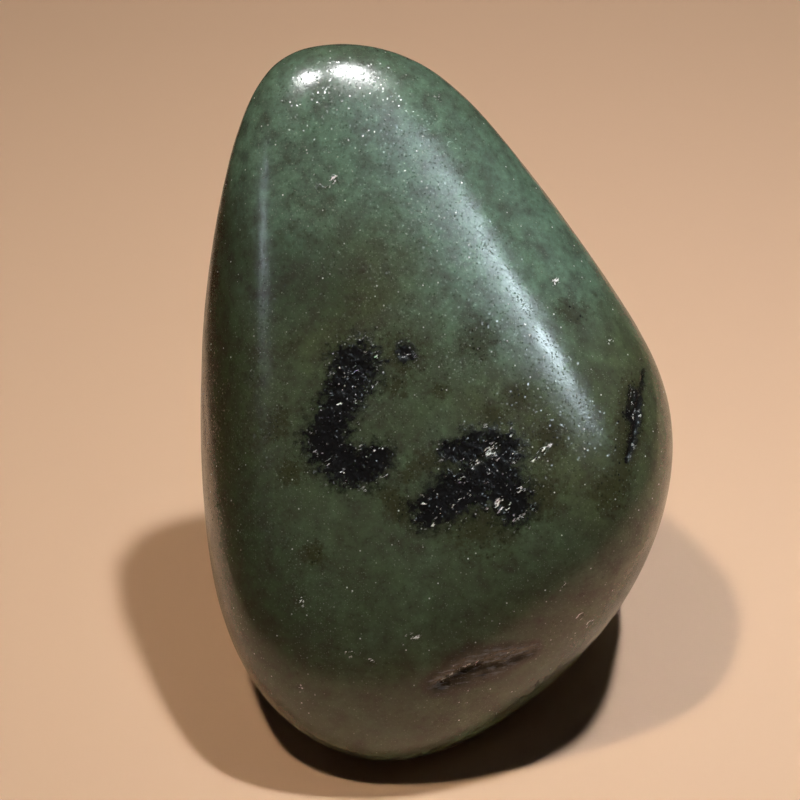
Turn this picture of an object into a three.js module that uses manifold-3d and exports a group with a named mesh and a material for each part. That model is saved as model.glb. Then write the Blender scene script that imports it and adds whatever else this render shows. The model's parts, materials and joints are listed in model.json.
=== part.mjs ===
// A tumble-polished jade pebble, standing upright on a flat that wear has left under it.
//
// Millimetres, +Z up. The stone's broad front looks towards -Y, and +X is to its right.
// The origin is on the resting surface, under the middle of the stone's box.
//
// Tumbling has worn the stone into some twenty gentle faces that melt into each other.
// Each face is a plane, given by where it looks and how far it lies from the heart of the
// stone. The skin is where a smooth maximum over all the planes is zero, so it is convex,
// nearly flat in the middle of each face and softly rounded wherever faces meet.

import * as THREE from 'three';
import { mergeVertices } from 'three/addons/utils/BufferGeometryUtils.js';
import Module from 'manifold-3d';

// How softly neighbouring faces melt together: larger is rounder.
const EDGE_ROUNDING = 1.8;

// Height of the heart above the resting surface.
const HEART_HEIGHT = 18;

// facing: degrees round the stone, 0 at the front, 90 at its right, 180 at its back.
// tilt: degrees above the horizontal. distance: millimetres from the heart.
const WORN_FACES = [
  { name: 'upper front', facing: 0, tilt: 46, distance: 12.89 },
  { name: 'lower front', facing: -7, tilt: 33, distance: 12.89 },
  { name: 'front foot', facing: -8, tilt: 2, distance: 18.67 },
  { name: 'front underside', facing: 2, tilt: -53, distance: 27.46 },
  { name: 'right foot', facing: 26.5, tilt: -4, distance: 17.97 },
  { name: 'back', facing: 175, tilt: -3, distance: 12.64 },
  { name: 'crown', facing: -176.5, tilt: 52, distance: 29.26 },
  { name: 'left shoulder', facing: -93, tilt: 18, distance: 24.2 },
  { name: 'left side', facing: -88, tilt: -2, distance: 16.56 },
  { name: 'left bevel', facing: -60, tilt: 22, distance: 16.31 },
  { name: 'left haunch', facing: -69.5, tilt: -27, distance: 20.84 },
  { name: 'left underside', facing: -45, tilt: -46.5, distance: 24.88 },
  { name: 'right bevel', facing: 65, tilt: 48, distance: 16.8 },
  { name: 'right shoulder', facing: 116.5, tilt: 21.5, distance: 18.61 },
  { name: 'right side', facing: 86, tilt: 2, distance: 18.75 },
  { name: 'right flank', facing: 74, tilt: -18, distance: 18.71 },
  { name: 'right underside', facing: 53, tilt: -39, distance: 20.38 },
  { name: 'back left', facing: -128.5, tilt: 0, distance: 17.43 },
  { name: 'back right', facing: 139, tilt: 3.5, distance: 13.45 },
  { name: 'back haunch', facing: 175, tilt: -42, distance: 20.5 },
  { name: 'back underside', facing: 180, tilt: -66, distance: 20.2 },
  { name: 'underside', facing: 0, tilt: -90, distance: 19.01 },
];

// The skin is sampled along rays from the heart: each edge of an icosahedron is cut in
// this many steps and one more.
const SKIN_DETAIL = 15;

// No ray is longer than this, and each is halved down to its skin this many times.
const LONGEST_RAY = 45;
const HALVINGS = 40;

// Side of the block that trims the underside flat.
const TRIMMING_BLOCK = 100;

const JADE_GREEN = 0x506954;
const POLISH_ROUGHNESS = 0.28;

// The unit vector in which a face looks.
function faceNormal({ facing, tilt }) {
  const turn = THREE.MathUtils.degToRad(facing);
  const lift = THREE.MathUtils.degToRad(tilt);
  const level = Math.cos(lift);
  return new THREE.Vector3(Math.sin(turn) * level, -Math.cos(turn) * level, Math.sin(lift));
}

const planes = WORN_FACES.map((face) => new THREE.Plane(faceNormal(face), -face.distance));

// The smooth maximum, over all faces, of how far a point lies outside each.
function outsideBy(point) {
  let sum = 0;
  for (const plane of planes) {
    sum += Math.exp(plane.distanceToPoint(point) / EDGE_ROUNDING);
  }
  return EDGE_ROUNDING * Math.log(sum);
}

// The point of the skin that a ray from the heart meets.
function skinPoint(direction) {
  let inside = 0;
  let outside = LONGEST_RAY;
  const point = new THREE.Vector3();
  for (let step = 0; step < HALVINGS; step += 1) {
    const middle = (inside + outside) / 2;
    point.copy(direction).multiplyScalar(middle);
    if (outsideBy(point) > 0) {
      outside = middle;
    } else {
      inside = middle;
    }
  }
  return point;
}

// The whole rounded skin, with the heart lifted to its height.
function skinGeometry() {
  const geometry = new THREE.IcosahedronGeometry(1, SKIN_DETAIL);
  geometry.deleteAttribute('normal');
  geometry.deleteAttribute('uv');
  const merged = mergeVertices(geometry);
  const positions = merged.getAttribute('position');
  const direction = new THREE.Vector3();
  for (let index = 0; index < positions.count; index += 1) {
    direction.fromBufferAttribute(positions, index).normalize();
    const point = skinPoint(direction);
    positions.setXYZ(index, point.x, point.y, point.z + HEART_HEIGHT);
  }
  return merged;
}

// A block whose top is the resting surface.
function trimmingGeometry() {
  const block = new THREE.BoxGeometry(TRIMMING_BLOCK, TRIMMING_BLOCK, TRIMMING_BLOCK);
  block.deleteAttribute('normal');
  block.deleteAttribute('uv');
  block.translate(0, 0, -TRIMMING_BLOCK / 2);
  return mergeVertices(block);
}

const wasm = await Module();
wasm.setup();

function toSolid(geometry) {
  const mesh = new wasm.Mesh({
    numProp: 3,
    vertProperties: new Float32Array(geometry.getAttribute('position').array),
    triVerts: new Uint32Array(geometry.getIndex().array),
  });
  return new wasm.Manifold(mesh);
}

function toGeometry(solid) {
  const mesh = solid.getMesh();
  const geometry = new THREE.BufferGeometry();
  geometry.setAttribute('position', new THREE.BufferAttribute(mesh.vertProperties, 3));
  geometry.setIndex(new THREE.BufferAttribute(mesh.triVerts, 1));
  return geometry;
}

// The stone: its skin with the underside trimmed flat, centred over the origin.
function makePebble() {
  const geometry = toGeometry(toSolid(skinGeometry()).subtract(toSolid(trimmingGeometry())));
  geometry.computeBoundingBox();
  const middle = geometry.boundingBox.getCenter(new THREE.Vector3());
  geometry.translate(-middle.x, -middle.y, 0);
  geometry.computeVertexNormals();
  const material = new THREE.MeshStandardMaterial({
    color: JADE_GREEN,
    roughness: POLISH_ROUGHNESS,
    metalness: 0,
  });
  const pebble = new THREE.Mesh(geometry, material);
  pebble.name = 'jade_pebble';
  return pebble;
}

const stone = new THREE.Group();
stone.add(makePebble());

export default stone;
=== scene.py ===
"""A tumble-polished jade pebble, standing upright on a pale board in soft studio light.

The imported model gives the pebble's size and gross shape. This script makes the stone's fine
skin around it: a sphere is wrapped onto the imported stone, smoothed, rippled by tumbling,
carved where the stone is cracked, scarred and chipped, and dressed in polished jade.

Lengths are metres, except where a name ends in _mm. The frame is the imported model's: +Z is
up and the stone's broad front looks towards -Y.
"""

from __future__ import annotations

import json
import logging
import math
from dataclasses import dataclass, field
from enum import Enum

import bpy
import numpy as np
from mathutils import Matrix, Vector

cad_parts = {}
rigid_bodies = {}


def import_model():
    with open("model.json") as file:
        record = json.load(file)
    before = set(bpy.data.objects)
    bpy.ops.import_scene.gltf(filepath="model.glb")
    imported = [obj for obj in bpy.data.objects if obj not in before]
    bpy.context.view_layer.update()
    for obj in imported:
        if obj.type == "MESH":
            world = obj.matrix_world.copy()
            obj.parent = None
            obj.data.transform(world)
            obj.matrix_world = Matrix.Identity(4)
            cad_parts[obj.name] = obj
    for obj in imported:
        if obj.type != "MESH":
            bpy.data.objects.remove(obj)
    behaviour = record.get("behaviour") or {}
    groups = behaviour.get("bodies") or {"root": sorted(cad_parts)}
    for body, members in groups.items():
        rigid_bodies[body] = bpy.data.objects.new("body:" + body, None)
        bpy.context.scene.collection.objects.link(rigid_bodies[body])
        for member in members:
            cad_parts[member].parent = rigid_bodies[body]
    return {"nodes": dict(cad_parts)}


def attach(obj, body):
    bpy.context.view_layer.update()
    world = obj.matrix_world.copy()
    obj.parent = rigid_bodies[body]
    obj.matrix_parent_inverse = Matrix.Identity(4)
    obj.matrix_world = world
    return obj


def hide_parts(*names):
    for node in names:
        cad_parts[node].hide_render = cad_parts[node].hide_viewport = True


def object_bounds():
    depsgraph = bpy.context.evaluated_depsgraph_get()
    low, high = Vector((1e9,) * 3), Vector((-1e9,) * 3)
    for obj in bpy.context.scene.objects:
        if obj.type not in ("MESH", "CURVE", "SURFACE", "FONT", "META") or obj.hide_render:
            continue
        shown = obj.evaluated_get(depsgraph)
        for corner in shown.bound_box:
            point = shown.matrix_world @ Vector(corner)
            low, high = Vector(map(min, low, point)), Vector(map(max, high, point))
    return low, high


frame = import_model()
CAD_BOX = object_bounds()

MM = 0.001
PEBBLE_NODE = "jade_pebble"
FAR_OUTSIDE = -1.0

Socket = bpy.types.NodeSocket
Amount = float | Socket
Colour = tuple[float, ...]
Shade = Colour | Socket

log = logging.getLogger("pebble")


# ------------------------------------------------
# Markings: where the stone is clouded, flecked, cracked and chipped
# ------------------------------------------------


class Marking(Enum):
    """What a mark on the stone is. The value names the attribute that holds its depth."""

    PALE = "pale_cloud"
    OLIVE = "olive_cloud"
    TEAL = "teal_cloud"
    BLACK = "black_inclusion"
    BROWN = "brown_spot"
    CRACK = "crack"
    SCAR = "scar"
    CHIP = "chip"


class Side(Enum):
    """The side from which a mark is placed: the way towards the viewer on that side."""

    FRONT = (0, -1, 0)
    RIGHT = (1, 0, 0)
    BACK = (0, 1, 0)
    LEFT = (-1, 0, 0)


@dataclass(frozen=True)
class Spot:
    """A point of a mark, as shares of the stone's box seen from the mark's side.

    across runs from 0 at the left to 1 at the right, up from 0 at the foot to 1 at the top.
    """

    across: float
    up: float
    radius_mm: float


@dataclass(frozen=True)
class Mark:
    """A mark on the stone: a round spot, or a band that runs through several spots."""

    marking: Marking
    spots: tuple[Spot, ...]
    side: Side = Side.FRONT


def band(
    marking: Marking, *spots: tuple[float, float, float], side: Side = Side.FRONT
) -> Mark:
    """A mark that runs through (across, up, radius_mm) spots; one spot makes it round."""
    return Mark(marking, tuple(Spot(*each) for each in spots), side)


def scatter(
    marking: Marking, *spots: tuple[float, float, float], side: Side = Side.FRONT
) -> tuple[Mark, ...]:
    """Round marks, one at each (across, up, radius_mm) spot."""
    return tuple(band(marking, each, side=side) for each in spots)


CLOUDS = (
    band(Marking.PALE, (0.22, 0.92, 5.6), (0.42, 0.92, 6.0), (0.57, 0.86, 5.0)),
    band(Marking.PALE, (0.12, 0.86, 4.0), (0.16, 0.78, 3.5)),
    band(Marking.PALE, (0.60, 0.86, 4.8), (0.74, 0.77, 5.2)),
    band(Marking.OLIVE, (0.22, 0.76, 4.0), (0.38, 0.76, 4.0), (0.30, 0.70, 3.0)),
    band(Marking.OLIVE, (0.78, 0.71, 2.4), (0.87, 0.66, 3.6), (0.93, 0.58, 3.6), (0.95, 0.48, 3.4)),
    band(Marking.OLIVE, (0.62, 0.62, 2.2), (0.74, 0.56, 2.4), (0.85, 0.50, 2.4)),
    band(Marking.OLIVE, (0.55, 0.83, 0.8), (0.60, 0.79, 1.2), (0.62, 0.75, 0.8)),
    band(Marking.TEAL, (0.05, 0.66, 3.0), (0.07, 0.45, 4.0), (0.14, 0.30, 4.0)),
    band(Marking.TEAL, (0.06, 0.76, 2.6), (0.16, 0.74, 3.2), (0.26, 0.75, 2.8)),
    band(Marking.PALE, (0.30, 0.90, 6.0), (0.62, 0.80, 6.0), side=Side.BACK),
    band(Marking.OLIVE, (0.35, 0.55, 5.0), (0.60, 0.40, 5.0), side=Side.BACK),
    band(Marking.OLIVE, (0.40, 0.35, 4.0), (0.60, 0.55, 4.0), side=Side.LEFT),
    band(Marking.PALE, (0.72, 0.62, 3.4), (0.84, 0.44, 3.4), side=Side.RIGHT),
    band(Marking.TEAL, (0.23, 0.74, 1.5)),
)

INCLUSIONS = (
    band(
        Marking.BLACK,
        (0.336, 0.660, 1.75),
        (0.300, 0.612, 1.35),
        (0.270, 0.562, 1.55),
        (0.305, 0.540, 1.45),
        (0.352, 0.538, 1.35),
        (0.384, 0.552, 1.05),
    ),
    band(Marking.BLACK, (0.525, 0.564, 0.8), (0.580, 0.566, 1.4), (0.634, 0.566, 1.4)),
    band(
        Marking.BLACK,
        (0.600, 0.550, 1.6),
        (0.580, 0.526, 1.6),
        (0.525, 0.510, 1.5),
        (0.486, 0.490, 1.3),
    ),
    band(Marking.BLACK, (0.610, 0.545, 1.6), (0.640, 0.520, 1.6), (0.652, 0.502, 1.4)),
    band(Marking.BROWN, (0.44, 0.53, 0.5), (0.47, 0.55, 0.7), (0.52, 0.556, 0.6)),
    band(Marking.BROWN, (0.40, 0.505, 0.6), (0.43, 0.485, 0.8)),
    band(Marking.BLACK, (0.55, 0.71, 0.7), (0.60, 0.67, 1.3), (0.66, 0.65, 1.0), side=Side.BACK),
    band(Marking.BLACK, (0.60, 0.67, 1.1), (0.62, 0.61, 0.9), (0.59, 0.57, 0.6), side=Side.BACK),
    band(Marking.BLACK, (0.45, 0.50, 0.8), (0.52, 0.46, 1.1), side=Side.LEFT),
    band(Marking.BLACK, (0.62, 0.38, 0.9), (0.70, 0.33, 0.7), side=Side.RIGHT),
    *scatter(
        Marking.BROWN,
        (0.590, 0.478, 2.0), (0.436, 0.679, 1.40), (0.419, 0.637, 0.7), (0.507, 0.635, 0.5),
        (0.588, 0.694, 1.1), (0.659, 0.629, 0.8), (0.618, 0.607, 0.7), (0.720, 0.580, 1.2),
        (0.169, 0.572, 0.9), (0.200, 0.520, 0.8), (0.710, 0.509, 1.2), (0.857, 0.506, 1.2),
        (0.250, 0.420, 0.7),
    ),
    band(Marking.BLACK, (0.436, 0.679, 0.70)),
    *scatter(
        Marking.BROWN,
        (0.72, 0.71, 0.9), (0.34, 0.56, 1.2), (0.42, 0.34, 1.0), (0.78, 0.40, 0.8),
        (0.22, 0.44, 0.7),
        side=Side.BACK,
    ),
    *scatter(Marking.BROWN, (0.60, 0.30, 1.0), (0.35, 0.68, 0.8), side=Side.LEFT),
    band(Marking.BROWN, (0.50, 0.70, 0.9), side=Side.RIGHT),
)

DAMAGE = (
    band(
        Marking.CRACK,
        (0.930, 0.596, 0.15),
        (0.921, 0.588, 0.22),
        (0.914, 0.576, 0.34),
        (0.906, 0.562, 0.40),
        (0.895, 0.546, 0.36),
        (0.886, 0.535, 0.15),
    ),
    band(Marking.BLACK, (0.906, 0.592, 0.50), (0.899, 0.576, 0.55)),
    band(Marking.BROWN, (0.906, 0.596, 1.0), (0.894, 0.572, 1.1), (0.872, 0.520, 0.8)),
    band(Marking.CHIP, (0.904, 0.596, 0.14), (0.900, 0.584, 0.18)),
    band(
        Marking.SCAR,
        (0.505, 0.228, 0.7),
        (0.574, 0.253, 1.2),
        (0.640, 0.256, 1.0),
        (0.695, 0.258, 0.6),
    ),
    band(Marking.CHIP, (0.430, 0.306, 0.18), (0.468, 0.320, 0.24)),
    band(Marking.CHIP, (0.515, 0.232, 0.16), (0.555, 0.250, 0.26), (0.590, 0.257, 0.18)),
    band(Marking.CHIP, (0.690, 0.554, 0.14), (0.728, 0.572, 0.20)),
    band(Marking.CHIP, (0.575, 0.548, 0.22), (0.620, 0.570, 0.32)),
    band(Marking.CHIP, (0.255, 0.862, 0.12), (0.280, 0.868, 0.16), (0.305, 0.880, 0.12)),
    band(Marking.CRACK, (0.66, 0.62, 0.12), (0.69, 0.57, 0.26), (0.70, 0.53, 0.12), side=Side.BACK),
    band(Marking.SCAR, (0.30, 0.17, 0.4), (0.36, 0.19, 0.7), (0.42, 0.19, 0.4), side=Side.BACK),
    band(Marking.CHIP, (0.30, 0.80, 0.14), (0.36, 0.82, 0.14), side=Side.BACK),
    *scatter(
        Marking.CHIP,
        (0.926, 0.604, 0.14), (0.650, 0.262, 0.22), (0.368, 0.271, 0.25), (0.318, 0.284, 0.32),
        (0.218, 0.206, 0.28), (0.220, 0.350, 0.25), (0.798, 0.297, 0.30), (0.821, 0.265, 0.32),
        (0.763, 0.376, 0.22), (0.633, 0.500, 0.42), (0.502, 0.942, 0.25), (0.858, 0.652, 0.30),
        (0.744, 0.735, 0.25),
    ),
    *scatter(Marking.CHIP, (0.48, 0.50, 0.3), (0.66, 0.62, 0.3), side=Side.BACK),
    *scatter(Marking.CHIP, (0.40, 0.28, 0.3), (0.58, 0.62, 0.25), side=Side.LEFT),
    band(Marking.CHIP, (0.45, 0.45, 0.3), side=Side.RIGHT),
)

MARKS = CLOUDS + INCLUSIONS + DAMAGE


# ------------------------------------------------
# Shader sheets and the effects that the finishes share
# ------------------------------------------------


class Sheet:
    """A node tree that is being drawn up."""

    def __init__(self, tree: bpy.types.NodeTree) -> None:
        """Starts on an empty tree."""
        self.tree = tree
        tree.nodes.clear()

    def add(
        self, kind: str, inputs: dict[str | int, object] | None = None, **settings: object
    ) -> bpy.types.Node:
        """Adds a node.

        Args:
            kind: the node's type name.
            inputs: for each input's name or number, a value to set or a socket to wire in.
            settings: the node's own properties.

        Returns:
            The new node.
        """
        node = self.tree.nodes.new(kind)
        for name, value in settings.items():
            setattr(node, name, value)
        for key, value in (inputs or {}).items():
            self._feed(node.inputs[key], value)
        return node

    def _feed(self, socket: Socket, value: object) -> None:
        """Wires a socket into an input, or sets the input to a value.

        Args:
            socket: the input.
            value: the socket to wire in, or the value to set.
        """
        if isinstance(value, Socket):
            self.tree.links.new(value, socket)
        else:
            socket.default_value = value

    def math(self, operation: str, *values: Amount) -> Socket:
        """The result of a sum on sockets or numbers."""
        return self.add("ShaderNodeMath", dict(enumerate(values)), operation=operation).outputs[0]

    def times(self, first: Amount, second: Amount) -> Socket:
        """The product of two amounts: for two masks, where both hold."""
        return self.math("MULTIPLY", first, second)

    def most(self, *masks: Socket) -> Socket:
        """The greatest of some masks: where any of them holds.

        Args:
            masks: the masks, two or more.

        Returns:
            The joint mask.
        """
        first, *others = masks
        for mask in others:
            first = self.math("MAXIMUM", first, mask)
        return first

    def vector(self, operation: str, first: Shade, second: Shade) -> Socket:
        """The result of a sum on two vectors."""
        node = self.add("ShaderNodeVectorMath", {0: first, 1: second}, operation=operation)
        return node.outputs[0]

    def ramp(
        self, value: Amount, low: Amount, high: Amount, to_low: float = 0.0, to_high: float = 1.0
    ) -> Socket:
        """A smooth step.

        Args:
            value: what drives the step.
            low: the value at the step's start.
            high: the value at its end, which may lie below the start.
            to_low: the result at the start and before it.
            to_high: the result at the end and past it.

        Returns:
            The result.
        """
        inputs = {
            "Value": value,
            "From Min": low,
            "From Max": high,
            "To Min": to_low,
            "To Max": to_high,
        }
        node = self.add("ShaderNodeMapRange", inputs, interpolation_type="SMOOTHSTEP")
        return node.outputs["Result"]

    def blend(self, share: Amount, under: Shade, over: Shade) -> Socket:
        """Lays one colour on another.

        Args:
            share: how strongly the upper colour covers.
            under: the lower colour.
            over: the upper colour.

        Returns:
            The colour that shows.
        """
        node = self.add("ShaderNodeMix", data_type="RGBA")
        sockets = {socket.identifier: socket for socket in node.inputs}
        self._feed(sockets["Factor_Float"], share)
        self._feed(sockets["A_Color"], under)
        self._feed(sockets["B_Color"], over)
        return next(socket for socket in node.outputs if socket.identifier == "Result_Color")

    def noise(
        self, place: Socket, scale: float, detail: float = 3.0, roughness: float = 0.55
    ) -> Socket:
        """Cloudy noise from about 0.3 to 0.7, with scale in features a unit of place."""
        inputs = {"Vector": place, "Scale": scale, "Detail": detail, "Roughness": roughness}
        return self.add("ShaderNodeTexNoise", inputs).outputs["Fac"]

    def depth(self, marking: Marking) -> Socket:
        """How deep the surface lies inside the stone's marks of a kind."""
        return self.add("ShaderNodeAttribute", attribute_name=marking.value).outputs["Fac"]

    def effect(self, group: bpy.types.NodeTree, inputs: dict[str, Amount]) -> Socket:
        """Places a shared effect, and gives its only output."""
        return self.add("ShaderNodeGroup", inputs, node_tree=group).outputs[0]


def new_effect(
    name: str, inputs: dict[str, str], output: str, output_kind: str = "NodeSocketFloat"
) -> tuple[bpy.types.NodeTree, Sheet, dict[str, Socket]]:
    """Starts a node group.

    Args:
        name: the group's name.
        inputs: the kind of each named input socket.
        output: the name of its output socket.
        output_kind: the kind of its output socket.

    Returns:
        The group, its sheet, and its input sockets by name.
    """
    group = bpy.data.node_groups.new(name, "ShaderNodeTree")
    for label, kind in inputs.items():
        group.interface.new_socket(label, in_out="INPUT", socket_type=kind)
    group.interface.new_socket(output, in_out="OUTPUT", socket_type=output_kind)
    sheet = Sheet(group)
    entry = sheet.add("NodeGroupInput")
    return group, sheet, {label: entry.outputs[label] for label in inputs}


def ragged_patch() -> bpy.types.NodeTree:
    """Makes the effect that turns a mark's painted depth into a patch with a ragged edge.

    Returns:
        The group. Its Noise runs about 0.5, and its Softness is the edge's half width in depth.
    """
    labels = ("Depth", "Noise", "Raggedness", "Softness")
    inputs = {label: "NodeSocketFloat" for label in labels}
    group, sheet, entry = new_effect("ragged_patch", inputs, "Mask")
    swing = sheet.times(sheet.math("SUBTRACT", entry["Noise"], 0.5), entry["Raggedness"])
    level = sheet.math("ADD", entry["Depth"], swing)
    mask = sheet.ramp(level, sheet.times(entry["Softness"], -1.0), entry["Softness"])
    sheet.add("NodeGroupOutput", {"Mask": mask})
    return group


def speckle() -> bpy.types.NodeTree:
    """Makes the effect of small round flecks, of which each cell of a loose grid may hold one.

    Returns:
        The group. Grain is the cells in a millimetre, Size a fleck's radius as a share of a cell
        and Share the share of the cells that hold one.
    """
    rim, faintest = 0.35, 0.2
    inputs = {
        "Place": "NodeSocketVector",
        "Grain": "NodeSocketFloat",
        "Size": "NodeSocketFloat",
        "Share": "NodeSocketFloat",
    }
    group, sheet, entry = new_effect("speckle", inputs, "Mask")
    cells = sheet.add("ShaderNodeTexVoronoi", {"Vector": entry["Place"], "Scale": entry["Grain"]})
    dot = sheet.ramp(cells.outputs["Distance"], entry["Size"], sheet.times(entry["Size"], rim))
    lot = sheet.add("ShaderNodeSeparateColor", {"Color": cells.outputs["Color"]})
    chosen = sheet.math("LESS_THAN", lot.outputs["Red"], entry["Share"])
    strength = sheet.math("ADD", sheet.times(lot.outputs["Green"], 1 - faintest), faintest)
    mask = sheet.times(sheet.times(dot, chosen), strength)
    sheet.add("NodeGroupOutput", {"Mask": mask})
    return group


def facets() -> bpy.types.NodeTree:
    """Makes the effect of small flat facets, each tilted its own way, that glint one at a time.

    Returns:
        The group. Grain is the facets in a millimetre, Share the share of them that is tilted
        and Tilt how far.
    """
    redraw = 17.3
    inputs = {
        "Place": "NodeSocketVector",
        "Grain": "NodeSocketFloat",
        "Share": "NodeSocketFloat",
        "Tilt": "NodeSocketFloat",
    }
    group, sheet, entry = new_effect("facets", inputs, "Normal", "NodeSocketVector")
    cells = sheet.add("ShaderNodeTexVoronoi", {"Vector": entry["Place"], "Scale": entry["Grain"]})
    drawn = cells.outputs["Color"]
    lot = sheet.add("ShaderNodeSeparateColor", {"Color": drawn}).outputs["Red"]
    second_lot = sheet.math("FRACT", sheet.times(lot, redraw))
    chosen = sheet.math("LESS_THAN", second_lot, entry["Share"])
    centred = sheet.vector("SUBTRACT", drawn, (0.5,) * 3)
    scaling = {0: centred, "Scale": sheet.times(chosen, entry["Tilt"])}
    leaning = sheet.add("ShaderNodeVectorMath", scaling, operation="SCALE").outputs[0]
    skin = sheet.add("ShaderNodeNewGeometry").outputs["Normal"]
    joined = {0: sheet.vector("ADD", skin, leaning)}
    normal = sheet.add("ShaderNodeVectorMath", joined, operation="NORMALIZE").outputs[0]
    sheet.add("NodeGroupOutput", {"Normal": normal})
    return group


# ------------------------------------------------
# Finishes
# ------------------------------------------------


@dataclass(frozen=True)
class Patch:
    """How a kind of mark shows on the skin.

    raggedness is how far the noise eats into its edge and softness the edge's half width, both
    in painted depth. swell spreads the mark past its painted edge, by a share of its radius.
    """

    marking: Marking
    raggedness: float
    softness: float
    swell: float = 0.0


@dataclass(frozen=True)
class Flecks:
    """A scatter of small round flecks.

    grain is the cells in a millimetre, size a fleck's radius as a share of a cell and share the
    share of the cells that hold one.
    """

    grain: float
    size: float
    share: float = 1.0


class StoneSheet(Sheet):
    """The stone's material while it is drawn up, with its places, noises and masks at hand."""

    def __init__(self, tree: bpy.types.NodeTree) -> None:
        """Starts on an empty tree, with places in metres and in millimetres.

        Args:
            tree: the material's node tree.
        """
        super().__init__(tree)
        self.patch = ragged_patch()
        self.flecks = speckle()
        self.object_place = self.add("ShaderNodeTexCoord").outputs["Object"]
        in_mm = {"Vector": self.object_place, "Scale": (1 / MM,) * 3}
        self.place = self.add("ShaderNodeMapping", in_mm).outputs[0]
        self.fine = self.noise(self.place, 2.1, 5.0, 0.68)
        self.middling = self.noise(self.place, 0.75, 4.0, 0.65)
        self.broad = self.noise(self.place, 0.26, 3.0, 0.60)

    def marked(self, patch: Patch, noise: Socket) -> Socket:
        """The mask of a kind of mark.

        Args:
            patch: the mark and the way it shows.
            noise: what makes its edge ragged.

        Returns:
            The mask.
        """
        inputs = {
            "Depth": self.math("ADD", self.depth(patch.marking), patch.swell),
            "Noise": noise,
            "Raggedness": patch.raggedness,
            "Softness": patch.softness,
        }
        return self.effect(self.patch, inputs)

    def dots(self, flecks: Flecks, crowding: Socket | None = None) -> Socket:
        """The mask of a scatter of flecks.

        Args:
            flecks: the scatter.
            crowding: how many of its flecks show from place to place, if that varies.

        Returns:
            The mask.
        """
        share = flecks.share
        if crowding is not None:
            share = self.times(crowding, share)
        inputs = {
            "Place": self.place,
            "Grain": flecks.grain,
            "Size": flecks.size,
            "Share": share,
        }
        return self.effect(self.flecks, inputs)

    def lay(self, under: Shade, over: Colour, *masks: Socket, strength: float = 1.0) -> Socket:
        """Lays a colour on another where all of some masks hold.

        Args:
            under: the colour so far.
            over: the colour to lay on it.
            masks: where it goes, one or more.
            strength: how much of it shows there.

        Returns:
            The colour that shows.
        """
        share, *others = masks
        for mask in others:
            share = self.times(share, mask)
        return self.blend(self.times(share, strength), under, over)


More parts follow.
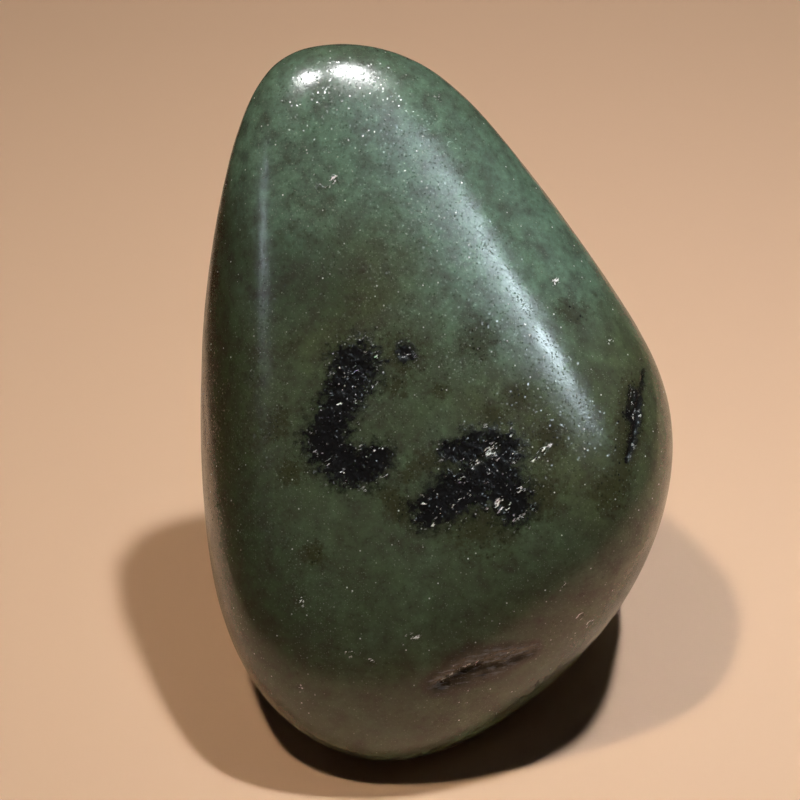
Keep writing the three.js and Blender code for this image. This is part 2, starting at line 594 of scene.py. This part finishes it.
@dataclass(frozen=True)
class PolishedJade:
    """Tumble-polished nephrite: dark green, clouded, brown-spotted and finely pitted, with glints
    of its polish painted into the colour.
    """

    deep: Colour = (0.098, 0.162, 0.092, 1)
    mid: Colour = (0.126, 0.212, 0.128, 1)
    pale: Colour = (0.200, 0.385, 0.300, 1)
    olive: Colour = (0.116, 0.156, 0.066, 1)
    teal: Colour = (0.050, 0.088, 0.046, 1)
    felt: Colour = (0.024, 0.040, 0.018, 1)
    black: Colour = (0.006, 0.006, 0.008, 1)
    brown: Colour = (0.030, 0.028, 0.012, 1)
    shade: Colour = (0.024, 0.032, 0.018, 1)
    scar_brown: Colour = (0.034, 0.020, 0.020, 1)
    # painted glint: the grey-blue streaks of light across a scar's broken ground
    scar_glint_grey: Colour = (0.30, 0.36, 0.50, 1)
    # painted glints: pale_glint and glint are sparkle of light off the polish, laid into the colour
    pale_glint: Colour = (0.42, 0.50, 0.44, 1)
    glint: Colour = (0.88, 0.93, 1.0, 1)

    olive_cloud: Patch = Patch(Marking.OLIVE, 1.2, 0.95)
    pale_cloud: Patch = Patch(Marking.PALE, 1.2, 0.95, 0.15)
    teal_cloud: Patch = Patch(Marking.TEAL, 1.2, 0.95)
    inclusion: Patch = Patch(Marking.BLACK, 2.6, 0.50, 0.02)
    inclusion_halo: Patch = Patch(Marking.BLACK, 2.4, 0.70, 0.30)
    brown_spot: Patch = Patch(Marking.BROWN, 3.0, 0.80, 0.1)
    scar: Patch = Patch(Marking.SCAR, 2.4, 0.60)
    scar_halo: Patch = Patch(Marking.SCAR, 1.8, 0.90, 1.1)
    crack: Patch = Patch(Marking.CRACK, 2.4, 0.70)
    crack_halo: Patch = Patch(Marking.CRACK, 1.8, 0.80, 0.6)
    chip: Patch = Patch(Marking.CHIP, 2.6, 0.30, 0.15)

    brown_dots: Flecks = Flecks(4.2, 0.50, 0.55)
    # painted glints: these three scatters of pale flecks stand for sparkle off tiny pits in the
    # polish
    faint_body_glints: Flecks = Flecks(7.0, 0.40)
    dim_body_glints: Flecks = Flecks(3.1, 0.22)
    bright_body_glints: Flecks = Flecks(1.9, 0.14, 0.7)
    # painted glints: white dots of light in the dark marks
    faint_dark_glints: Flecks = Flecks(4.6, 0.40, 0.30)
    dark_glints: Flecks = Flecks(2.7, 0.20, 0.22)
    pits: Flecks = Flecks(2.6, 0.18, 0.20)
    pinholes: Flecks = Flecks(6.5, 0.30, 0.25)

    # the slope of the scar's painted glint streaks
    scar_glint_slope: float = 14.0
    # the slope and size of the painted glint lines in the dark marks and the chips
    glint_line_slope: float = -32.0
    glint_line_size: tuple[float, ...] = (0.70 * MM, 0.40 * MM, 0.24 * MM)

    wide_peel_mm: float = 0.008
    fine_peel_mm: float = 0.006
    pit_mm: float = 0.010
    pinhole_mm: float = 0.004
    broken_mm: float = 0.030
    facet_grain: float = 10.0
    facet_share: float = 0.15
    facet_tilt: float = 0.34
    broken_facet_tilt: float = 0.52

    glossiest: float = 0.19
    dullest: float = 0.26
    inclusion_gloss: float = 0.04
    refraction: float = 1.61
    translucency: float = 0.12
    translucent_reach: float = 0.8 * MM

    def material(self) -> bpy.types.Material:
        """Builds the stone's material.

        Returns:
            The material.
        """
        material = bpy.data.materials.new("polished_jade")
        material.use_nodes = True
        sheet = StoneSheet(material.node_tree)
        scar = sheet.marked(self.scar, sheet.fine)
        chip = sheet.marked(self.chip, sheet.fine)
        black = sheet.marked(self.inclusion, sheet.fine)
        crack = sheet.marked(self.crack, sheet.fine)
        dark = sheet.most(black, crack)
        colour = self._stain(sheet, self._body_colour(sheet))
        colour = self._paint_body_glints(sheet, colour)
        colour = sheet.lay(colour, self.black, black, strength=0.97)
        colour = sheet.lay(colour, self.black, crack, strength=0.9)
        colour = sheet.lay(colour, self.black, scar, strength=0.55)
        # painted glint: grey-blue streaks of light across the scar
        colour = sheet.lay(colour, self.scar_glint_grey, scar, self._scar_glint_lines(sheet), strength=0.35)
        colour = self._paint_mark_glints(sheet, colour, dark, chip)
        surface = sheet.add(
            "ShaderNodeBsdfPrincipled",
            {
                "Base Color": colour,
                "Roughness": self._roughness(sheet, dark),
                "IOR": self.refraction,
                "Normal": self._relief(sheet, sheet.most(scar, chip, dark)),
                "Subsurface Weight": self.translucency,
                "Subsurface Radius": (0.7, 1.0, 0.6),
                "Subsurface Scale": self.translucent_reach,
            },
        )
        sheet.add("ShaderNodeOutputMaterial", {"Surface": surface.outputs[0]})
        return material

    def _body_colour(self, sheet: StoneSheet) -> Socket:
        """The green of the stone itself: clouds of several greens, and a fine felted grain.

        Args:
            sheet: the stone's sheet.

        Returns:
            The colour.
        """
        drift = sheet.ramp(sheet.broad, 0.38, 0.64)
        curds = sheet.ramp(sheet.middling, 0.34, 0.68)
        felt = sheet.ramp(sheet.noise(sheet.place, 4.0, 5.0, 0.8), 0.32, 0.68, 0.09, 0.0)
        olive = sheet.marked(self.olive_cloud, sheet.broad)
        pale = sheet.marked(self.pale_cloud, sheet.broad)
        teal = sheet.marked(self.teal_cloud, sheet.broad)
        colour = sheet.lay(self.deep, self.mid, drift, strength=0.6)
        colour = sheet.lay(colour, self.olive, olive, strength=0.7)
        colour = sheet.lay(colour, self.pale, pale, strength=0.95)
        colour = sheet.lay(colour, self.teal, teal, strength=0.8)
        colour = sheet.lay(colour, self.pale, curds, strength=0.06)
        return sheet.lay(colour, self.felt, felt)

    def _stain(self, sheet: StoneSheet, colour: Socket) -> Socket:
        """Stains the stone brown round its marks.

        Args:
            sheet: the stone's sheet.
            colour: the colour so far.

        Returns:
            The colour that shows.
        """
        brown = sheet.marked(self.brown_spot, sheet.fine)
        scar_halo = sheet.marked(self.scar_halo, sheet.middling)
        crack_halo = sheet.marked(self.crack_halo, sheet.fine)
        halo = sheet.marked(self.inclusion_halo, sheet.fine)
        colour = sheet.lay(colour, self.scar_brown, scar_halo, strength=0.88)
        colour = sheet.lay(colour, self.shade, crack_halo, strength=0.6)
        colour = sheet.lay(colour, self.brown, brown, strength=0.68)
        colour = sheet.lay(colour, self.black, brown, sheet.dots(self.brown_dots), strength=0.9)
        return sheet.lay(colour, self.shade, halo, strength=0.62)

    def _paint_body_glints(self, sheet: StoneSheet, colour: Socket) -> Socket:
        """Paints glints into the body's colour: pale flecks of three sizes that stand for sparkle
        off the polish's tiny pits, thicker in some places.

        Args:
            sheet: the stone's sheet.
            colour: the colour so far.

        Returns:
            The colour that shows.
        """
        crowding = sheet.ramp(sheet.noise(sheet.place, 0.16, 2.0), 0.38, 0.66, 0.2, 0.6)
        # painted glints, laid into the colour as pale flecks
        colour = sheet.lay(colour, self.pale_glint, sheet.dots(self.faint_body_glints, crowding), strength=0.20)
        colour = sheet.lay(colour, self.pale_glint, sheet.dots(self.dim_body_glints, crowding), strength=0.40)
        return sheet.lay(colour, self.glint, sheet.dots(self.bright_body_glints, crowding))

    def _paint_mark_glints(self, sheet: StoneSheet, colour: Socket, dark: Socket, chip: Socket) -> Socket:
        """Paints white glints into the dark marks and the chips, and darkens the chips.

        Args:
            sheet: the stone's sheet.
            colour: the colour so far.
            dark: the mask of the inclusions and cracks.
            chip: the mask of the chips.

        Returns:
            The colour that shows.
        """
        glint_line_noise = self._glint_line_noise(sheet)
        sparks = sheet.ramp(glint_line_noise, 0.61, 0.66)
        chip_glint_lines = sheet.ramp(glint_line_noise, 0.55, 0.61)
        clusters = sheet.ramp(sheet.noise(sheet.place, 1.1, 2.0), 0.50, 0.62)
        faint, bright = sheet.dots(self.faint_dark_glints), sheet.dots(self.dark_glints)
        # painted glints: sparkle of light off the polish, laid into the colour of the dark marks
        # and the chips
        colour = sheet.lay(colour, self.glint, faint, dark, strength=0.03)
        colour = sheet.lay(colour, self.glint, sparks, dark, clusters)
        colour = sheet.lay(colour, self.glint, bright, dark, strength=0.8)
        colour = sheet.lay(colour, self.shade, chip, strength=0.35)
        return sheet.lay(colour, self.glint, chip_glint_lines, chip)

    def _scar_glint_lines(self, sheet: StoneSheet) -> Socket:
        """The thin, nearly level streaks of painted glint across a scar's broken ground.

        Args:
            sheet: the stone's sheet.

        Returns:
            The mask.
        """
        drawn_out = {
            "Vector": sheet.object_place,
            "Rotation": (0, math.radians(self.scar_glint_slope), 0),
            "Scale": (0.7 / MM, 1 / MM, 4.0 / MM),
        }
        place = sheet.add("ShaderNodeMapping", drawn_out).outputs[0]
        return sheet.ramp(sheet.noise(place, 1.0, 4.0, 0.65), 0.50, 0.62)

    def _glint_line_noise(self, sheet: StoneSheet) -> Socket:
        """The noise of the short painted glint lines, drawn out along a slope to the upper right.

        Args:
            sheet: the stone's sheet.

        Returns:
            The noise.
        """
        drawn_out = {
            "Vector": sheet.object_place,
            "Rotation": (0, math.radians(self.glint_line_slope), 0),
            "Scale": self.glint_line_size,
        }
        place = sheet.add("ShaderNodeMapping", drawn_out, vector_type="TEXTURE").outputs[0]
        return sheet.noise(place, 1.0, 3.0, 0.70)

    def _roughness(self, sheet: StoneSheet, dark: Socket) -> Socket:
        """The polish, which drifts over the stone and is finer on the dark marks.

        Args:
            sheet: the stone's sheet.
            dark: the mask of the inclusions and cracks.

        Returns:
            The roughness.
        """
        noise = sheet.noise(sheet.place, 0.5, 3.0)
        drift = sheet.ramp(noise, 0.35, 0.65, self.glossiest, self.dullest)
        return sheet.math("ADD", drift, sheet.times(dark, -self.inclusion_gloss))

    def _relief(self, sheet: StoneSheet, damage: Socket) -> Socket:
        """The fine relief of the skin: facets, orange peel, pits and broken ground.

        Args:
            sheet: the stone's sheet.
            damage: the mask of the broken ground.

        Returns:
            The normal.
        """
        place = sheet.place
        height = sheet.math(
            "ADD",
            sheet.times(sheet.noise(place, 1.3, 2.0, 0.5), self.wide_peel_mm),
            sheet.times(sheet.noise(place, 3.6, 2.0, 0.5), self.fine_peel_mm),
        )
        broken = sheet.times(sheet.noise(place, 4.0, 4.0, 0.7), self.broken_mm)
        for layer in (
            sheet.times(sheet.dots(self.pits), -self.pit_mm),
            sheet.times(sheet.dots(self.pinholes), -self.pinhole_mm),
            sheet.times(broken, damage),
        ):
            height = sheet.math("ADD", height, layer)
        inputs = {
            "Place": place,
            "Grain": self.facet_grain,
            "Share": self.facet_share,
            "Tilt": sheet.ramp(damage, 0.0, 1.0, self.facet_tilt, self.broken_facet_tilt),
        }
        glitter = sheet.effect(facets(), inputs)
        relief = {"Height": height, "Distance": MM, "Strength": 1.0, "Normal": glitter}
        return sheet.add("ShaderNodeBump", relief).outputs["Normal"]


@dataclass(frozen=True)
class PlainBoard:
    """The plain, matt surface that the stone stands on."""

    name: str = "plain_board"
    colour: Colour = (0.675, 0.49, 0.365, 1)
    roughness: float = 0.85
    shine: float = 0.0

    def material(self) -> bpy.types.Material:
        """Builds the board's material.

        Returns:
            The material.
        """
        material = bpy.data.materials.new(self.name)
        material.use_nodes = True
        sheet = Sheet(material.node_tree)
        inputs = {
            "Base Color": self.colour,
            "Roughness": self.roughness,
            "Specular IOR Level": self.shine,
        }
        surface = sheet.add("ShaderNodeBsdfPrincipled", inputs)
        sheet.add("ShaderNodeOutputMaterial", {"Surface": surface.outputs[0]})
        return material


# ------------------------------------------------
# The stone
# ------------------------------------------------


def pick_nothing() -> None:
    """Deselects every object."""
    for each in bpy.data.objects:
        each.select_set(False)


def pick(piece: bpy.types.Object) -> None:
    """Makes a piece the only selected object, and the active one.

    Args:
        piece: the piece.
    """
    pick_nothing()
    piece.select_set(True)
    bpy.context.view_layer.objects.active = piece


def corners(piece: bpy.types.Object) -> np.ndarray:
    """The places of a mesh's vertices.

    Args:
        piece: the mesh's object.

    Returns:
        The places, one row each.
    """
    places = np.empty(len(piece.data.vertices) * 3)
    piece.data.vertices.foreach_get("co", places)
    return places.reshape(-1, 3)


def shape_with(piece: bpy.types.Object, kind: str, **settings: object) -> None:
    """Shapes a piece with a modifier, and applies it.

    Args:
        piece: the piece.
        kind: the modifier's type name.
        settings: the modifier's own properties.
    """
    modifier = piece.modifiers.new(kind.lower(), kind)
    for name, value in settings.items():
        setattr(modifier, name, value)
    pick(piece)
    bpy.ops.object.modifier_apply(modifier=modifier.name)


@dataclass(frozen=True)
class Cut:
    """How the skin is carved at a kind of mark.

    steepness is how fast the cut deepens inwards from the mark's edge, grain the width of its
    broken ground and sink how far it goes in.
    """

    marking: Marking
    steepness: float
    grain: float
    sink: float


@dataclass
class JadePebble:
    """The pebble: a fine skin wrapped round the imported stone, then rippled and carved."""

    finish: PolishedJade
    core: bpy.types.Object = field(init=False)
    divisions: int = 115
    ball_radius: float = 40 * MM
    weld: float = 1e-7
    smoothing: float = 0.5
    smoothing_rounds: int = 30
    swell: float = 0.06 * MM
    swell_width: float = 6.0 * MM
    ripple: float = 0.012 * MM
    ripple_width: float = 1.6 * MM
    foot_rise: float = 1.5 * MM
    refined_margin: float = 0.3
    carving: tuple[Cut, ...] = (
        Cut(Marking.BLACK, 1.5, 0.45 * MM, 0.10 * MM),
        Cut(Marking.CRACK, 1.2, 0.60 * MM, 0.30 * MM),
        Cut(Marking.SCAR, 1.2, 0.50 * MM, 0.35 * MM),
        Cut(Marking.CHIP, 1.5, 0.40 * MM, 0.14 * MM),
    )

    def build(self) -> bpy.types.Object:
        """Makes the stone and hands it to the frame.

        Returns:
            The finished piece.
        """
        self.core = self._packed_stone()
        stone = self._rough_ball()
        self._wrap(stone)
        self._refine(stone)
        self._paint_marks(stone)
        self._tumble(stone)
        self._carve(stone)
        self._dress(stone)
        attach(stone, "root")
        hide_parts(PEBBLE_NODE)
        return stone

    def _packed_stone(self) -> bpy.types.Object:
        """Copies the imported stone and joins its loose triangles, to wrap the skin onto.

        Returns:
            The copy.
        """
        core = frame["nodes"][PEBBLE_NODE].copy()
        core.data = core.data.copy()
        core.parent = None
        bpy.context.scene.collection.objects.link(core)
        pick(core)
        bpy.ops.object.mode_set(mode="EDIT")
        bpy.ops.mesh.select_all(action="SELECT")
        bpy.ops.mesh.remove_doubles(threshold=self.weld)
        bpy.ops.object.mode_set(mode="OBJECT")
        return core

    def _rough_ball(self) -> bpy.types.Object:
        """Makes a finely divided block round the stone, with its six sides laid out flat.

        Returns:
            The block.
        """
        low, high = CAD_BOX
        pick_nothing()
        bpy.ops.mesh.primitive_cube_add(size=1, location=(low + high) / 2)
        ball = bpy.context.object
        ball.name = ball.data.name = "pebble_skin"
        ball.scale = high - low
        bpy.ops.object.transform_apply(location=True, rotation=True, scale=True)
        self._lay_out(ball)
        bpy.ops.object.mode_set(mode="EDIT")
        bpy.ops.mesh.select_all(action="SELECT")
        bpy.ops.mesh.subdivide(number_cuts=self.divisions)
        bpy.ops.object.mode_set(mode="OBJECT")
        return ball

    def _lay_out(self, ball: bpy.types.Object) -> None:
        """Lays the six sides of the start block out in a sheet of three columns and two rows.

        Args:
            ball: the start block, with its six sides undivided.
        """
        columns, rows, gap = 3, 2, 0.006
        layout = ball.data.uv_layers[0]
        layout.name = "OFBake"
        for side in ball.data.polygons:
            column, row = side.index % columns, side.index // columns
            for turn, loop in enumerate(side.loop_indices):
                right, top = turn in (1, 2), turn in (2, 3)
                layout.data[loop].uv = (
                    (column + (1 - gap * columns if right else gap * columns)) / columns,
                    (row + (1 - gap * rows if top else gap * rows)) / rows,
                )

    def _wrap(self, ball: bpy.types.Object) -> None:
        """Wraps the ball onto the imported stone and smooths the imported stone's facets away.

        Args:
            ball: the divided block, which becomes the skin.
        """
        pivot = bpy.data.objects.new("middle", None)
        pivot.location = (CAD_BOX[0] + CAD_BOX[1]) / 2
        bpy.context.scene.collection.objects.link(pivot)
        shape_with(
            ball,
            "CAST",
            cast_type="SPHERE",
            factor=1.0,
            object=pivot,
            use_radius_as_size=False,
            size=self.ball_radius,
        )
        shape_with(
            ball,
            "SHRINKWRAP",
            target=self.core,
            wrap_method="PROJECT",
            use_negative_direction=True,
            use_positive_direction=False,
        )
        smoothing = {"factor": self.smoothing, "iterations": self.smoothing_rounds}
        for _ in range(2):
            shape_with(ball, "SMOOTH", **smoothing)
            shape_with(
                ball, "SHRINKWRAP", target=self.core, wrap_method="NEAREST_SURFACEPOINT"
            )
        shape_with(ball, "SMOOTH", **smoothing)
        bpy.data.objects.remove(pivot)

    def _place(self, side: Side, across: float, up: float) -> Vector:
        """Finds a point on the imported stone.

        Args:
            side: the side that it is seen from.
            across: its share of the stone's width from there, from the left.
            up: its share of the stone's height.

        Returns:
            The point, or the nearest on the stone where the view passes it by.
        """
        low, high = CAD_BOX
        size = high - low
        out = Vector(side.value)
        right = Vector((0, 0, 1)).cross(out)
        shift = right * (across - 0.5) * abs(right.dot(size))
        start = (low + high) / 2 + out * size.length + shift
        start.z = low.z + up * size.z
        found, point, _, _ = self.core.ray_cast(start, -out)
        if not found:
            _, point, _, _ = self.core.closest_point_on_mesh(start - out * size.length)
        return point

    def _depths(self, places: np.ndarray, marking: Marking) -> np.ndarray:
        """How deep each place lies inside the marks of one kind.

        Args:
            places: the places to test, one row each.
            marking: the kind of mark.

        Returns:
            For each place 1 in the middle of a mark, 0 at its edge and down to -1 outside.
        """
        shortest = 1e-18
        best = np.full(len(places), FAR_OUTSIDE)
        for mark in (each for each in MARKS if each.marking is marking):
            points = [self._place(mark.side, each.across, each.up) for each in mark.spots]
            radii = [each.radius_mm * MM for each in mark.spots]
            if len(points) == 1:
                points, radii = points * 2, radii * 2
            for start, end, wide, narrow in zip(points, points[1:], radii, radii[1:]):
                way = np.array(end - start)
                along = np.clip(((places - start) @ way) / max(way @ way, shortest), 0, 1)
                gap = np.linalg.norm(places - start - along[:, None] * way, axis=1)
                radius = wide + (narrow - wide) * along
                best = np.maximum(best, 1 - gap / radius)
        return best

    def _refine(self, stone: bpy.types.Object) -> None:
        """Divides the skin once more where the stone is carved, so that the carving is crisp.

        Args:
            stone: the stone.
        """
        places = corners(stone)
        carved = np.full(len(places), FAR_OUTSIDE)
        for cut in self.carving:
            carved = np.maximum(carved, self._depths(places, cut.marking))
        close = carved > -self.refined_margin
        for vertex in stone.data.vertices:
            vertex.select = bool(close[vertex.index])
        for edge in stone.data.edges:
            edge.select = bool(close[edge.vertices[0]] and close[edge.vertices[1]])
        for face in stone.data.polygons:
            face.select = all(close[corner] for corner in face.vertices)
        pick(stone)
        bpy.ops.object.mode_set(mode="EDIT")
        bpy.ops.mesh.select_mode(type="FACE")
        bpy.ops.mesh.subdivide(number_cuts=1)
        bpy.ops.object.mode_set(mode="OBJECT")

    def _off_the_foot(self, places: np.ndarray) -> np.ndarray:
        """How far each place is off the foot: 0 on it, 1 at foot_rise and above."""
        return np.clip(places[:, 2] / self.foot_rise, 0, 1)

    def _paint_marks(self, stone: bpy.types.Object) -> None:
        """Writes each kind of mark's depth to the skin, for the carving and for the finish.

        Args:
            stone: the stone.
        """
        places = corners(stone)
        for marking in Marking:
            layer = stone.data.attributes.new(marking.value, "FLOAT", "POINT")
            layer.data.foreach_set("value", self._depths(places, marking).astype(np.float32))
        rise = self._off_the_foot(places)
        self._weigh(stone, "off_the_foot", rise * rise * (3 - 2 * rise))

    def _weigh(self, stone: bpy.types.Object, name: str, weights: np.ndarray) -> None:
        """Makes a vertex group of the weights over nought.

        Args:
            stone: the stone.
            name: the group's name.
            weights: the weight of each vertex.
        """
        group = stone.vertex_groups.new(name=name)
        for index in np.flatnonzero(weights > 0):
            group.add([int(index)], float(weights[index]), "REPLACE")

    def _displace(
        self, stone: bpy.types.Object, width: float, height: float, group: str, level: float
    ) -> None:
        """Moves the skin in or out by a cloudy height.

        Args:
            stone: the stone.
            width: the size of the clouds.
            height: how far their full range moves the skin; inwards if negative.
            group: the vertex group that limits it.
            level: the cloud value that leaves the skin where it is.
        """
        clouds = bpy.data.textures.new("clouds", "CLOUDS")
        clouds.noise_scale = width
        clouds.noise_depth = 2
        shape_with(
            stone,
            "DISPLACE",
            texture=clouds,
            texture_coords="LOCAL",
            strength=height,
            mid_level=level,
            vertex_group=group,
        )

    def _tumble(self, stone: bpy.types.Object) -> None:
        """Gives the skin the slow swells and the fine ripple that tumbling leaves."""
        self._displace(stone, self.swell_width, self.swell, "off_the_foot", 0.5)
        self._displace(stone, self.ripple_width, self.ripple, "off_the_foot", 0.5)

    def _carve(self, stone: bpy.types.Object) -> None:
        """Sinks the inclusions a little, and the cracks, scars and chips deeper.

        Args:
            stone: the stone.
        """
        places = corners(stone)
        foot = self._off_the_foot(places)
        for cut in self.carving:
            group = cut.marking.value
            depths = self._depths(places, cut.marking)
            self._weigh(stone, group, np.clip(depths * cut.steepness, 0, 1) * foot)
            self._displace(stone, cut.grain, -cut.sink, group, 0.0)

    def _dress(self, stone: bpy.types.Object) -> None:
        """Smooths the shading, gives the stone its finish and clears the tools away.

        Args:
            stone: the stone.
        """
        pick(stone)
        bpy.ops.object.shade_smooth()
        stone.vertex_groups.clear()
        stone.data.materials.clear()
        stone.data.materials.append(self.finish.material())
        bpy.data.objects.remove(self.core)


# ------------------------------------------------
# The studio
# ------------------------------------------------


def towards(azimuth: float, elevation: float) -> Vector:
    """The way from the stone to a place round it.

    Args:
        azimuth: the place's turn round the stone in degrees, 0 being the front.
        elevation: its height over the horizon in degrees.

    Returns:
        The unit vector.
    """
    turn, lift = math.radians(azimuth), math.radians(elevation)
    level = math.cos(lift)
    return Vector((math.sin(turn) * level, -math.cos(turn) * level, math.sin(lift)))


class Reach(Enum):
    """What a light does: it lights the scene, or it only shows as sheen in the polish."""

    LIGHT = "light"
    SHEEN = "sheen"


WARM_WHITE = (1.0, 0.97, 0.93)
LAMP_ORANGE = (1.0, 0.78, 0.54)
DAYLIGHT = (0.76, 0.92, 1.0)
PALE_DAYLIGHT = (0.78, 0.90, 1.0)


@dataclass(frozen=True)
class SoftLight:
    """A soft round panel of light that looks at the stone.

    beam is the whole angle that the light spreads over, in degrees, and beam_shift how far to
    the stone's right it looks.
    """

    name: str
    reach: Reach
    azimuth: float
    elevation: float
    distance: float
    width: float
    height: float
    watts: float
    colour: Colour = (1.0, 1.0, 1.0)
    beam: float = 180.0
    beam_shift: float = 0.0

    def hang(self, aim: Vector) -> None:
        """Hangs the light.

        Args:
            aim: the point that it is hung round.
        """
        direction = towards(self.azimuth, self.elevation)
        data = bpy.data.lights.new(self.name, "AREA")
        data.shape = "ELLIPSE"
        data.size, data.size_y = self.width, self.height
        data.energy, data.color = self.watts, self.colour
        data.spread = math.radians(self.beam)
        lamp = bpy.data.objects.new(self.name, data)
        lamp.location = aim + direction * self.distance
        target = aim + Vector((self.beam_shift, 0, 0))
        lamp.rotation_euler = (lamp.location - target).to_track_quat("Z", "Y").to_euler()
        lamp.visible_diffuse = self.reach is Reach.LIGHT
        lamp.visible_glossy = self.reach is Reach.SHEEN
        bpy.context.scene.collection.objects.link(lamp)


@dataclass(frozen=True)
class Studio:
    """The camera, the lights, the board and the table."""

    camera_elevation: float = 40.0
    camera_distance: float = 0.26
    lens_mm: float = 168.5
    aim_across: float = 0.425
    aim_depth: float = 0.468
    aim_up: float = 0.5385
    nearest: float = 0.01
    farthest: float = 20.0
    room_colour: Colour = (0.90, 0.68, 0.52, 1)
    room_strength: float = 0.014
    board: PlainBoard = PlainBoard()
    board_left: float = -0.041
    board_right: float = 0.110
    board_front: float = -0.0385
    board_back: float = 0.180
    board_thickness: float = 0.002
    table: PlainBoard = PlainBoard("dark_table", (0.10, 0.055, 0.032, 1), 0.6)
    table_size: float = 4.0
    lights: tuple[SoftLight, ...] = (
        SoftLight(
            "right_lamp", Reach.LIGHT, 110, 76.2, 0.6, 0.038, 0.038, 0.078, WARM_WHITE, 30, 0.029
        ),
        SoftLight(
            "left_lamp", Reach.LIGHT, -66, 73.9, 0.6, 0.038, 0.038, 0.118, LAMP_ORANGE, 50, -0.012
        ),
        SoftLight("right_glare", Reach.SHEEN, 120, 86, 0.6, 0.18, 0.14, 3.7),
        SoftLight("left_glare", Reach.SHEEN, -86, 71, 0.6, 0.10, 0.14, 1.8),
        SoftLight("window", Reach.SHEEN, 49, 55, 0.8, 0.25, 0.17, 0.56, DAYLIGHT),
        SoftLight("window_foot", Reach.SHEEN, 54, 52, 0.8, 0.10, 0.10, 0.74, DAYLIGHT),
        SoftLight("window_side", Reach.SHEEN, 38, 60, 0.8, 0.38, 0.24, 0.40, DAYLIGHT),
        SoftLight("skylight", Reach.SHEEN, 20, 66, 0.8, 0.34, 0.20, 0.20, DAYLIGHT),
        SoftLight("far_window", Reach.SHEEN, 108, 38, 0.8, 0.30, 0.20, 0.10, DAYLIGHT),
        SoftLight("side_strip", Reach.SHEEN, -71, 25, 0.8, 0.05, 0.19, 0.24, PALE_DAYLIGHT),
    )

    def _point(self, across: float, depth: float, up: float) -> Vector:
        """The point at some shares of the stone's box.

        Args:
            across: its share of the width, from the left.
            depth: its share of the depth, from the front.
            up: its share of the height.

        Returns:
            The point.
        """
        low, high = CAD_BOX
        size = high - low
        return Vector((low.x + across * size.x, low.y + depth * size.y, low.z + up * size.z))

    def set_camera(self) -> None:
        """Stands the camera in front of the stone, looking down at it."""
        aim = self._point(self.aim_across, self.aim_depth, self.aim_up)
        direction = towards(0, self.camera_elevation)
        data = bpy.data.cameras.new("camera")
        data.lens, data.clip_start, data.clip_end = self.lens_mm, self.nearest, self.farthest
        camera = bpy.data.objects.new("camera", data)
        camera.location = aim + direction * self.camera_distance
        camera.rotation_euler = direction.to_track_quat("Z", "Y").to_euler()
        bpy.context.scene.collection.objects.link(camera)
        bpy.context.scene.camera = camera

    def light(self) -> None:
        """Hangs the lights and gives the room its dim glow."""
        middle = self._point(0.5, 0.5, 0.5)
        for lamp in self.lights:
            lamp.hang(middle)
        room = bpy.data.worlds.new("room")
        room.use_nodes = True
        sheet = Sheet(room.node_tree)
        inputs = {"Color": self.room_colour, "Strength": self.room_strength}
        glow = sheet.add("ShaderNodeBackground", inputs)
        sheet.add("ShaderNodeOutputWorld", {"Surface": glow.outputs[0]})
        bpy.context.scene.world = room
        bpy.context.scene.view_settings.view_transform = "Standard"

    def lay_board(self) -> None:
        """Lays the pale board under the stone, on a darker table."""
        top = CAD_BOX[0].z
        size = (
            self.board_right - self.board_left,
            self.board_back - self.board_front,
            self.board_thickness,
        )
        middle = (
            (self.board_right + self.board_left) / 2,
            (self.board_back + self.board_front) / 2,
            top - self.board_thickness / 2,
        )
        pick_nothing()
        bpy.ops.mesh.primitive_cube_add(size=1, location=middle, scale=size)
        self._set_down("board", self.board)
        beneath = (0, 0, top - self.board_thickness)
        pick_nothing()
        bpy.ops.mesh.primitive_plane_add(size=self.table_size, location=beneath)
        self._set_down("table", self.table)

    def _set_down(self, name: str, finish: PlainBoard) -> None:
        """Names the piece just made, dresses it and marks it as stage.

        Args:
            name: the piece's name.
            finish: its surface.
        """
        piece = bpy.context.object
        piece.name = name
        bpy.ops.object.transform_apply(location=True, rotation=True, scale=True)
        piece.data.materials.append(finish.material())


def main() -> None:
    """Builds the studio and the stone."""
    logging.basicConfig(level=logging.INFO, format="%(name)s: %(message)s")
    studio = Studio()
    studio.set_camera()
    studio.light()
    studio.lay_board()
    log.info("studio ready, %d lights", len(studio.lights))
    stone = JadePebble(PolishedJade()).build()
    log.info("%s: %d faces", stone.name, len(stone.data.polygons))


if __name__ == "__main__":
    main()
